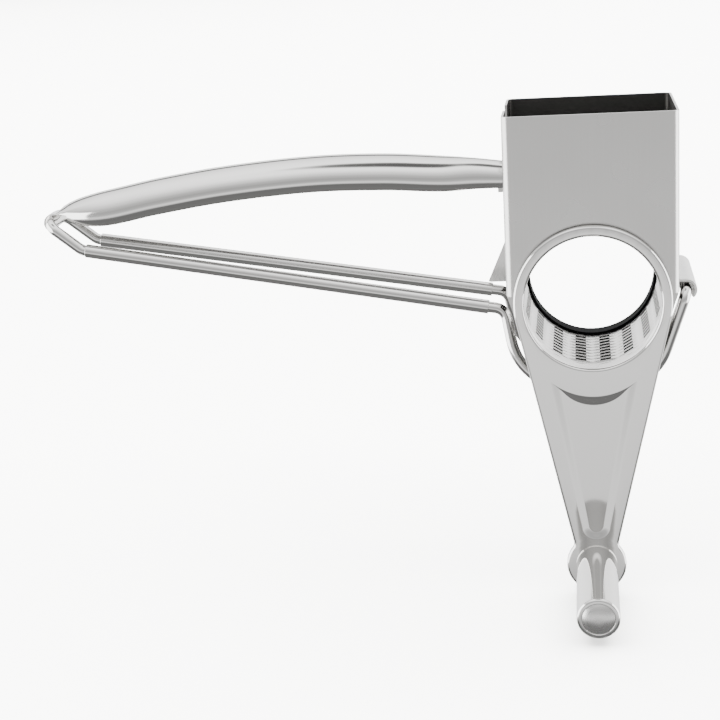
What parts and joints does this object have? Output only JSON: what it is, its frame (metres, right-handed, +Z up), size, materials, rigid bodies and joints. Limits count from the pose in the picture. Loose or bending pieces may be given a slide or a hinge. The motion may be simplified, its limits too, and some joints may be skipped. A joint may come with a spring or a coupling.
{
  "type": "rotary cheese grater",
  "caption": "Hand-held rotary cheese grater: a sheet hopper over a cranked grating drum, on a bent wire frame with a hinged press handle.",
  "frame": {"origin": "on the drum's axis, half way along the hopper's depth", "axes": "+Z up, +X from the handle's hinge to the hopper, -Y to the crank's side"},
  "size_m": [0.2272, 0.0943, 0.1658],
  "materials": {
    "brushed_stainless": "satin brushed stainless sheet",
    "polished_stainless": "polished stainless",
    "drum_stainless": "bright rolled stainless sheet",
    "ring_plastic": "moulded black plastic",
    "liner_plastic": "moulded natural plastic"
  },
  "bodies": {
    "frame": {"hopper_shell": "brushed_stainless", "hook_plate": "brushed_stainless", "left_gusset": "brushed_stainless", "wire_frame": "polished_stainless", "front_sleeve": "polished_stainless", "rear_sleeve": "polished_stainless"},
    "press": {"press_handle": "polished_stainless", "pusher_arm": "brushed_stainless", "pusher_bridge": "brushed_stainless", "pusher_shoe": "brushed_stainless", "pusher_rivets": "brushed_stainless"},
    "ring": {"bearing_ring": "ring_plastic"},
    "drum": {"drum_shell": "drum_stainless", "drum_collar": "drum_stainless", "crank_plate": "polished_stainless", "knob_pin": "drum_stainless"},
    "knob": {"knob_liner": "liner_plastic", "knob_grip": "polished_stainless", "knob_cap": "polished_stainless"}
  },
  "joints": [
    {"name": "handle_hinge", "type": "hinge", "parent": "frame", "child": "press", "pos_m": [-0.1893, 0, 0.0286], "axis": [0, -1, 0], "range_deg": [0, 110]},
    {"name": "drum_spin", "type": "hinge", "parent": "frame", "child": "ring", "pos_m": [0, 0, 0], "axis": [0, 1, 0], "continuous": true},
    {"name": "drum_pull", "type": "slide", "parent": "ring", "child": "drum", "axis": [0, -1, 0], "range_m": [0, 0.045]},
    {"name": "knob_spin", "type": "hinge", "parent": "drum", "child": "knob", "pos_m": [0, -0.045, -0.0934], "axis": [0, 1, 0], "continuous": true}
  ]
}
